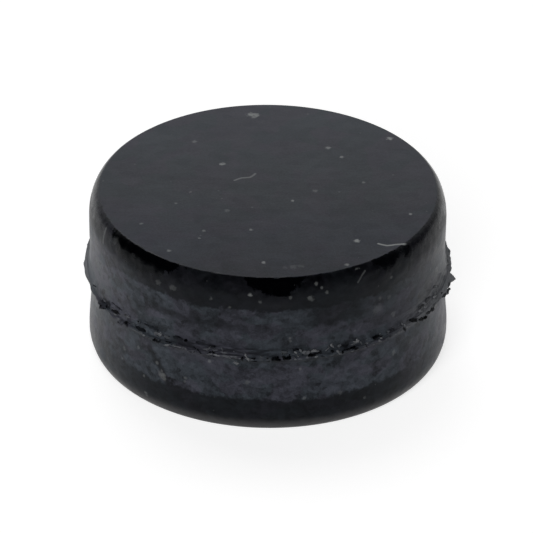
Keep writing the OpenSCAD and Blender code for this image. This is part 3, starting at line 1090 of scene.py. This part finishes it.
def cad_reach():
    """Reach of the CAD flash beyond its root at each of its edge points, by angle."""
    edge = {}
    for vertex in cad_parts["parting_flash"].data.vertices:
        radius = math.hypot(vertex.co.x, vertex.co.y)
        angle = round(math.degrees(math.atan2(vertex.co.y, vertex.co.x)) % 360, 2)
        if radius > ROOT_R + EDGE_BEYOND:
            edge[angle] = max(edge.get(angle, 0.0), radius - ROOT_R)
    return sorted(edge.items())


def reach_at(edge, angle):
    """Reach at any angle, between the two nearest edge points."""
    spot = angle / 360 * len(edge)
    first, share = int(spot) % len(edge), spot - int(spot)
    return edge[first][1] * (1 - share) + edge[(first + 1) % len(edge)][1] * share


def torn_share(angle):
    """How ragged the tear is at an angle: 0 in the middle of the clean stretch, 1 away from it."""
    away = abs((angle - CALM_MIDDLE + 180) % 360 - 180)
    return min(1.0, CALM_TEAR + (away / CALM_HALF) ** 3)


def waves_at(spot, waves):
    """Sum of some noises at a spot of the circle of radius 1."""
    return sum(noise.noise(spot * scale) * share for scale, share in waves)


def web_points(reach_of, curl, least=LEAST_REACH):
    """Loose points round the root of a web, with its reach, lift and calmness at each."""
    reach, lift, calm, points = [], [], [], []
    for i in range(RIM_POINTS):
        degrees = 360 * i / RIM_POINTS
        angle = math.radians(degrees)
        spot = Vector((math.cos(angle), math.sin(angle), 0.0))
        torn = torn_share(degrees)
        fine = waves_at(spot, EDGE_WAVES) * EDGE_FINENESS * torn
        reach.append(max(least, reach_of(degrees, spot) + fine))
        lift.append(waves_at(spot, CURL_WAVES) * curl * torn)
        calm.append(1.0 - torn)
        points.append(spot * ROOT_R)
    return line_mesh("rim_points", points, reach=reach, lift=lift, calm=calm)


def torn_flash(material):
    """The web of flash: the CAD outline, torn finer, and curling up and down by turns."""
    edge = cad_reach()
    start = web_points(lambda degrees, spot: reach_at(edge, degrees), WEB_CURL)
    piece = run_tree("torn_flash", start, web_tree(), {
        "Steps Across": 28, "Root Radius": ROOT_R, "Buried": 0.15 * MM,
        "Root Thickness": WEB_ROOT_T, "Edge Thickness": WEB_EDGE_T, "Taper": WEB_TAPER,
        "Middle Height": PARTING_Z, "Tear Depth": 0.14 * MM,
        "Tear Length": 0.6 * MM, "Tear Height": 0.16 * MM, "Material": material})
    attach(piece, BODY)
    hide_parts("parting_flash")
    return piece


# At the right the lip is torn off, and where it has gaps its edge stays under the flare
LIP_GONE_FROM, LIP_GONE_TO = 312, 360
HIDDEN_REACH = -0.09 * MM
# How far the lip is above the web, and how deep its root is in the wall, in millimetres
LIP_RISE, LIP_ROOT_IN = 0.26, 0.02
# Its stretches: usual reach and swing of the reach in millimetres, scale and start of the noise
LIP_REACH, LIP_SWING, LIP_SCALE, LIP_START = -0.02, 0.25, 14.0, Vector((7.0, 0.0, 3.0))


def torn_lip(material):
    """The broken lip above the web: short stretches with gaps, and a dark slot under them."""
    def reach_of(degrees, spot):
        if LIP_GONE_FROM < degrees < LIP_GONE_TO:
            return HIDDEN_REACH
        stretch = noise.noise(spot * LIP_SCALE + LIP_START)
        return (LIP_REACH + LIP_SWING * stretch) * MM * torn_share(degrees)

    start = web_points(reach_of, LIP_CURL, least=HIDDEN_REACH)
    height = PARTING_Z + LIP_RISE * MM
    root = (radius_at(height / MM) - LIP_ROOT_IN) * MM
    piece = run_tree("torn_lip", start, web_tree(), {
        "Steps Across": 20, "Root Radius": root, "Buried": 0.1 * MM,
        "Root Thickness": 0.14 * MM, "Edge Thickness": 0.05 * MM, "Taper": 0.2 * MM,
        "Middle Height": height, "Tear Depth": 0.1 * MM,
        "Tear Length": 0.5 * MM, "Tear Height": 0.13 * MM, "Material": material})
    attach(piece, BODY)
    return piece


# What stands out along the tear: (turn, height from its middle, length, width, lean in degrees,
# tone), where tone 0 is clean black rubber, 0.5 the wall's own and 1 pale torn rubber. Dark ones are
# painted shadow in crevices and under the web's edge, and pale ones partly painted highlight
SHREDS = [
    (-63.2, 0.08, 1.20, 0.42, 8, 0.25), (-60.5, 0.10, 0.50, 0.24, 14, 0.30),
    (-56.4, 0.26, 1.40, 0.13, 12, 0.10), (-55.8, 0.12, 0.45, 0.13, 8, 0.80),
    (-56.6, 0.62, 1.50, 0.12, 0, 0.30), (-64.5, 0.22, 0.70, 0.16, 8, 0.72),
    (-50.6, 0.48, 0.70, 0.20, 10, 0.72), (-50.1, 0.10, 0.42, 0.19, 16, 0.08),
    (-49.2, 0.02, 0.36, 0.16, -20, 0.20), (-52.0, -0.05, 0.40, 0.26, 10, 0.62),
    (-43.8, 0.18, 1.15, 0.18, 0, 0.14), (-45.0, 0.56, 0.30, 0.22, 60, 0.62),
    (-41.3, 0.00, 0.30, 0.12, 20, 0.80), (-40.3, -0.16, 0.28, 0.14, 0, 0.15),
    (-37.5, 0.33, 0.42, 0.17, 20, 0.74), (-36.6, 0.40, 0.50, 0.20, 8, 0.80),
    (-36.0, 0.46, 0.30, 0.14, 24, 0.70), (-33.4, 0.40, 0.50, 0.24, 0, 0.66),
    (-37.0, 0.00, 0.48, 0.17, 12, 0.06), (-36.1, -0.09, 0.44, 0.16, -8, 0.10),
    (-35.2, 0.06, 0.40, 0.13, 24, 0.16), (-40.0, 0.62, 1.40, 0.12, 0, 0.24),
    (-32.3, 0.12, 0.55, 0.10, 10, 0.06), (-32.6, -0.04, 0.75, 0.12, 18, 0.82),
    (-29.0, 0.05, 0.75, 0.13, 0, 0.76), (-26.6, 0.04, 0.50, 0.13, -3, 0.68),
    (-31.0, -0.25, 1.10, 0.08, 12, 0.25), (-24.7, -0.14, 0.30, 0.12, 0, 0.08),
    (-26.6, 0.57, 0.32, 0.14, -5, 0.00), (-29.5, 0.59, 0.80, 0.18, 0, 0.22),
    (-22.0, 0.60, 0.70, 0.14, 0, 0.20), (-17.6, 0.59, 0.60, 0.12, 0, 0.14),
    (-18.9, 0.30, 0.62, 0.12, 55, 0.70), (-16.7, 0.36, 0.40, 0.16, 0, 0.64),
    (-17.4, 0.17, 0.55, 0.11, 0, 0.02), (-21.7, 0.07, 0.45, 0.10, -40, 0.10),
    (-23.3, 0.24, 0.30, 0.10, -50, 0.15), (-14.2, 0.40, 0.50, 0.11, -75, 0.70),
    (-18.2, 0.00, 0.55, 0.10, 12, 0.76), (-15.8, 0.03, 0.55, 0.12, -4, 0.82),
    (-13.0, 0.03, 0.60, 0.10, 0, 0.72), (-10.2, 0.00, 0.55, 0.12, -3, 0.70),
    (-11.9, -0.14, 0.26, 0.12, -60, 0.80), (-10.2, -0.60, 0.30, 0.14, -14, 0.80),
    (-9.6, -0.68, 0.24, 0.14, 10, 0.85), (-7.6, 0.06, 0.42, 0.14, 80, 0.06),
    (-6.7, 0.20, 0.32, 0.14, -60, 0.90), (-6.0, 0.04, 0.40, 0.15, -35, 0.90),
    (-4.6, -0.01, 0.40, 0.08, -5, 0.70), (-4.2, -0.20, 0.60, 0.10, 0, 0.02),
    (-4.2, 0.08, 0.35, 0.12, 0, 0.05), (-1.7, 0.14, 0.35, 0.08, -45, 0.66),
    (0.5, 0.03, 0.35, 0.26, 0, 0.62), (3.1, 0.07, 0.34, 0.20, 85, 0.00),
    (2.1, 0.10, 0.40, 0.18, 0, 0.12), (5.2, 0.15, 0.26, 0.20, 0, 0.00),
    (6.7, 0.13, 0.36, 0.16, 0, 0.04), (5.4, 0.47, 0.50, 0.24, -8, 0.64),
    (9.0, 0.64, 0.45, 0.14, 0, 0.12), (9.0, 0.40, 0.24, 0.12, -50, 0.95),
    (9.3, 0.27, 0.20, 0.12, -80, 0.85), (9.7, 0.14, 0.30, 0.12, -75, 0.92),
    (8.7, 0.04, 0.20, 0.14, 0, 0.78), (10.4, 0.52, 0.26, 0.15, -80, 0.74),
    (12.6, 0.36, 0.70, 0.22, 0, 0.72), (14.7, 0.39, 0.40, 0.13, 3, 0.80),
    (15.7, 0.34, 0.32, 0.12, -8, 0.88), (13.7, 0.17, 0.34, 0.12, 0, 0.00),
    (15.6, 0.20, 0.75, 0.10, 5, 0.10), (15.4, -0.02, 0.26, 0.11, 6, 0.78),
    (16.2, -0.07, 0.22, 0.11, -25, 0.88), (12.5, 0.05, 0.26, 0.13, -60, 0.70),
    (16.8, 0.28, 0.30, 0.14, 60, 0.12), (20.6, 0.62, 0.22, 0.12, -60, 0.92),
    (21.1, 0.48, 0.18, 0.11, -20, 0.85), (20.9, 0.14, 0.40, 0.12, -50, 0.02),
    (22.7, 0.06, 0.50, 0.14, -45, 0.78), (23.3, 0.44, 0.30, 0.14, 50, 0.66),
    (23.8, 0.04, 0.22, 0.14, 0, 0.00), (24.7, 0.09, 0.22, 0.09, 0, 0.03),
    (27.6, 0.09, 0.48, 0.16, 5, 0.02), (27.3, -0.09, 0.45, 0.14, -15, 0.85),
    (28.7, 0.42, 0.30, 0.12, -30, 0.85), (29.4, 0.53, 0.26, 0.11, -60, 0.95),
    (29.8, 0.41, 0.30, 0.14, -8, 0.90), (31.0, 0.20, 0.50, 0.08, -60, 0.68),
    (33.0, 0.08, 0.40, 0.12, -15, 0.72), (34.9, -0.06, 0.30, 0.12, -35, 0.75),
    (36.0, 0.28, 0.42, 0.22, 0, 0.06), (38.2, 0.26, 0.50, 0.08, -10, 0.12),
    (37.3, 0.03, 0.30, 0.11, -18, 0.82), (38.2, 0.10, 0.26, 0.11, -35, 0.92),
    (41.4, 0.28, 0.35, 0.15, -50, 0.66), (41.0, -0.02, 0.60, 0.15, -8, 0.62),
    (40.2, -0.15, 0.30, 0.12, 0, 0.14), (43.1, 0.30, 0.50, 0.14, 0, 0.24),
    (47.9, 0.32, 0.30, 0.11, -50, 0.75), (48.7, 0.14, 0.32, 0.10, -85, 0.75),
    (49.7, -0.03, 0.45, 0.13, -15, 0.75), (48.2, -0.06, 0.50, 0.14, -60, 0.12),
    (53.3, 0.12, 0.70, 0.20, -12, 0.06), (55.5, 0.01, 0.60, 0.20, -18, 0.08),
    (57.4, -0.02, 0.50, 0.22, -12, 0.06), (60.2, 0.02, 0.60, 0.18, -6, 0.16),
    (62.6, 0.00, 0.60, 0.20, -3, 0.12), (65.2, 0.03, 0.50, 0.14, 4, 0.26),
    (57.6, 0.36, 0.50, 0.18, -8, 0.64), (61.0, 0.34, 0.60, 0.16, -12, 0.62),
    (58.5, 0.62, 0.90, 0.13, -2, 0.20), (63.0, 0.64, 0.90, 0.13, 3, 0.24),
    (67.6, 0.34, 0.60, 0.18, -8, 0.82), (69.8, 0.86, 0.50, 0.15, -10, 0.72),
    (71.4, 0.06, 0.70, 0.16, -4, 0.18), (74.6, 0.03, 0.80, 0.15, -3, 0.16),
    (78.0, 0.02, 0.80, 0.13, -2, 0.20), (58.0, -0.12, 0.50, 0.20, -15, 0.08),
    (61.5, -0.12, 0.90, 0.12, -3, 0.14), (66.0, -0.12, 1.00, 0.11, -3, 0.20),
    (70.5, -0.12, 1.00, 0.10, -2, 0.26), (2.6, 0.02, 0.80, 0.16, 0, 0.00),
    (6.0, 0.05, 0.70, 0.15, 0, 0.03), (25.6, 0.08, 0.70, 0.12, 4, 0.02),
    (28.6, 0.04, 0.40, 0.13, 0, 0.04), (13.9, 0.12, 0.55, 0.13, 0, 0.02),
    (36.8, 0.34, 0.55, 0.13, -4, 0.05), (32.2, 0.05, 0.60, 0.08, -60, 0.10),
    (52.0, 0.26, 0.60, 0.15, -14, 0.06),
]
# The clean black ones, with a tone under this, are painted shadow and stand further out, so that
# they cut across the web
BLACK_TONE, BLACK_OUT = 0.2, 0.05
SHRED_WIDENING = 1.35
# A crumb sits this share of its width out of the skin, and is this flat
CRUMB_OUT, CRUMB_FLATNESS = 0.1, 0.6
# Crumbs sit at this share of the web's reach. Further above or below its middle than this they sit
# further in, by this much to a millimetre
WEB_SHARE, WEB_HALF_T, WEB_SLOPE = 0.9, 0.05, 3.0
# The crumbs between the shreds: how many, their middle height and its spread, the limit to it,
# their width, how many times longer they are than wide, their lean, skew and tone
LOOSE_CRUMBS = 200
CRUMB_HEIGHT, CRUMB_SPREAD, CRUMB_LIMIT = 0.12, 0.2, 0.6
CRUMB_WIDTH, CRUMB_LENGTHS = (0.03, 0.1), (1.0, 1.3, 2.0, 3.5, 5.0)
CRUMB_LEAN, CRUMB_SKEW, CRUMB_TONES = (-40, 40), (-0.3, 0.3), (0.1, 0.3, 0.55, 0.65, 0.75)
# Angle of the front of the puck, in degrees
FRONT = 270


def clings_at(edge, degrees, height):
    """Radius at which a crumb sits: on the wall's flare, or near the web's edge where there is web."""
    skin = radius_at(PARTING_Z / MM + height)
    web = ROOT_R / MM + WEB_SHARE * reach_at(edge, degrees) / MM
    return max(skin, web - max(0.0, abs(height) - WEB_HALF_T) * WEB_SLOPE)


def torn_crumbs(material):
    """Shreds along the tear, partly painted shadow and highlight: some at stated turns, the rest at
    random.
    """
    edge = cad_reach()
    chance = random.Random(5)
    points, values = [], {"long": [], "wide": [], "lean": [], "skew": [], "tone": []}

    def lay(degrees, height, long, wide, lean, skew, tone):
        angle = math.radians(degrees)
        out = CRUMB_OUT * wide + BLACK_OUT * (tone < BLACK_TONE)
        radius = (clings_at(edge, degrees, height) + out) * MM
        points.append((radius * math.cos(angle), radius * math.sin(angle),
                       PARTING_Z + height * MM))
        for label, value in (("long", long * MM), ("wide", wide * MM), ("tone", tone),
                             ("lean", -math.radians(lean)), ("skew", skew)):
            values[label].append(value)

    for turn, height, long, wide, lean, tone in SHREDS:
        lay(turn + FRONT, height, long, wide * SHRED_WIDENING, lean, 0.0, tone)
    while len(points) < len(SHREDS) + LOOSE_CRUMBS:
        degrees = chance.uniform(0, 360)
        height = chance.gauss(CRUMB_HEIGHT, CRUMB_SPREAD)
        wide = chance.uniform(*CRUMB_WIDTH)
        long = wide * chance.choice(CRUMB_LENGTHS)
        lean = chance.uniform(*CRUMB_LEAN)
        skew = chance.uniform(*CRUMB_SKEW)
        tone = chance.choice(CRUMB_TONES)
        if chance.random() < torn_share(degrees) and abs(height) < CRUMB_LIMIT:
            lay(degrees, height, long, wide, lean, skew, tone)
    piece = run_tree("torn_crumbs", line_mesh("crumb_points", points, **values), crumbs_tree(), {
        "Seed": 3, "Raggedness": 1.9, "Rag Size": 0.11 * MM, "Material": material})
    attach(piece, BODY)
    return piece


# ---------------------------------------------------------------- stage, light and camera

WHITE = (1, 1, 1, 1)
# Half the side of the floor in metres, its paint, and the glow that brings it near to white
FLOOR_HALF, FLOOR_PAINT, FLOOR_GLOW = 1.5, (0.5, 0.5, 0.5, 1), 0.7


def floor():
    """Plain pale floor. What looks straight at it sees it nearly white, with the puck's shadow."""
    mesh = bpy.data.meshes.new("floor")
    corners = [(x * FLOOR_HALF, y * FLOOR_HALF, 0) for x, y in ((-1, -1), (1, -1), (1, 1), (-1, 1))]
    mesh.from_pydata(corners, [], [(0, 1, 2, 3)])
    piece = bpy.data.objects.new("floor", mesh)
    bpy.context.scene.collection.objects.link(piece)
    material = bpy.data.materials.new("floor_white")
    material.use_nodes = True
    material.node_tree.nodes.clear()
    g = Graph(material.node_tree)
    path = g.add("ShaderNodeLightPath").outputs
    seen = g.largest([path["Is Camera Ray"], path["Is Glossy Ray"], path["Is Transmission Ray"]])
    paint = g.add("ShaderNodeBsdfDiffuse", FLOOR_PAINT).outputs[0]
    glow = g.add("ShaderNodeEmission", WHITE, g.math("MULTIPLY", seen, FLOOR_GLOW)).outputs[0]
    both = g.add("ShaderNodeAddShader", paint, glow).outputs[0]
    g.feed(g.add("ShaderNodeOutputMaterial").inputs["Surface"], both)
    mesh.materials.append(material)


# The white part behind the puck: the way to its middle, and how near to that way it starts and is
# full, as cosines. The dark part that covers it overhead: the same
BACK_WAY, BACK_EDGE = (0.0, 0.8, 0.6), (0.42, 0.82)
DARK_WAY, DARK_EDGE = (-0.15, -0.45, 0.88), (0.18, 0.55)
# The lamps: (name, place and size in metres, watts, whether gloss mirrors it)
LAMPS = [("back_box", (-0.15, 0.4, 0.65), 0.5, 1.5, True),
         ("front_fill", (-0.1, -0.55, 0.4), 0.5, 3.3, False)]


def studio():
    """Surroundings that look white, and that light the puck from behind. The rest is dark to it."""
    world = bpy.data.worlds.new("studio")
    bpy.context.scene.world = world
    world.use_nodes = True
    world.node_tree.nodes.clear()
    g = Graph(world.node_tree)
    way = g.add("ShaderNodeTexCoord").outputs["Generated"]
    overhead = g.ramp(g.vector("DOT_PRODUCT", way, DARK_WAY), *DARK_EDGE, 1.0, 0.0)
    behind = g.ramp(g.vector("DOT_PRODUCT", way, BACK_WAY), *BACK_EDGE)
    path = g.add("ShaderNodeLightPath").outputs
    strength = g.largest([g.math("MULTIPLY", overhead, behind), path["Is Camera Ray"],
                          path["Is Transmission Ray"]])
    glow = g.add("ShaderNodeBackground", WHITE, strength).outputs[0]
    g.feed(g.add("ShaderNodeOutputWorld").inputs["Surface"], glow)


def softbox(name, place, size, watts, mirrored):
    """An area lamp that faces the puck, and which gloss mirrors or not."""
    lamp = bpy.data.lights.new(name, "AREA")
    lamp.shape, lamp.size, lamp.energy = "DISK", size, watts
    piece = bpy.data.objects.new(name, lamp)
    bpy.context.scene.collection.objects.link(piece)
    piece.visible_glossy = mirrored
    piece.location = place
    piece.rotation_euler = (PUCK_MIDDLE - Vector(place)).to_track_quat("-Z", "Y").to_euler()


# The view is VIEW_SIDE pixels square; the puck's middle is seen a little off its centre
VIEW_SIDE = 533
SENSOR = 36.0
VIEW_ELEVATION = math.radians(31.25)
VIEW_DISTANCE = 584.5 * MM
VIEW_ROLL = math.radians(0.46)
PIXELS_PER_RADIAN = 8243
MIDDLE_RIGHT_PX, MIDDLE_DOWN_PX = 267.4, 263.1
# What is nearer or further than this, in metres, isn't drawn
NEAREST, FURTHEST = 0.01, 10


def camera():
    """A long lens that looks down on the puck from the front."""
    data = bpy.data.cameras.new("camera")
    data.sensor_width = SENSOR
    data.lens = SENSOR * PIXELS_PER_RADIAN / VIEW_SIDE
    piece = bpy.data.objects.new("camera", data)
    bpy.context.scene.collection.objects.link(piece)
    back = Vector((0.0, -math.cos(VIEW_ELEVATION), math.sin(VIEW_ELEVATION)))
    piece.location = PUCK_MIDDLE + back * VIEW_DISTANCE
    right = (MIDDLE_RIGHT_PX - (VIEW_SIDE - 1) / 2) / PIXELS_PER_RADIAN
    down = (MIDDLE_DOWN_PX - (VIEW_SIDE - 1) / 2) / PIXELS_PER_RADIAN
    facing = (-back).to_track_quat("-Z", "Y")
    aim = Euler((down, right, VIEW_ROLL)).to_quaternion()
    piece.rotation_mode = "QUATERNION"
    piece.rotation_quaternion = facing @ aim
    data.clip_start, data.clip_end = NEAREST, FURTHEST
    bpy.context.scene.camera = piece


def main():
    bpy.context.scene.view_settings.view_transform = "Standard"
    camera()
    studio()
    floor()
    for lamp in LAMPS:
        softbox(*lamp)
    puck_body(moulded_rubber())
    torn = torn_rubber()
    torn_flash(torn)
    torn_lip(torn)
    torn_crumbs(torn)


main()
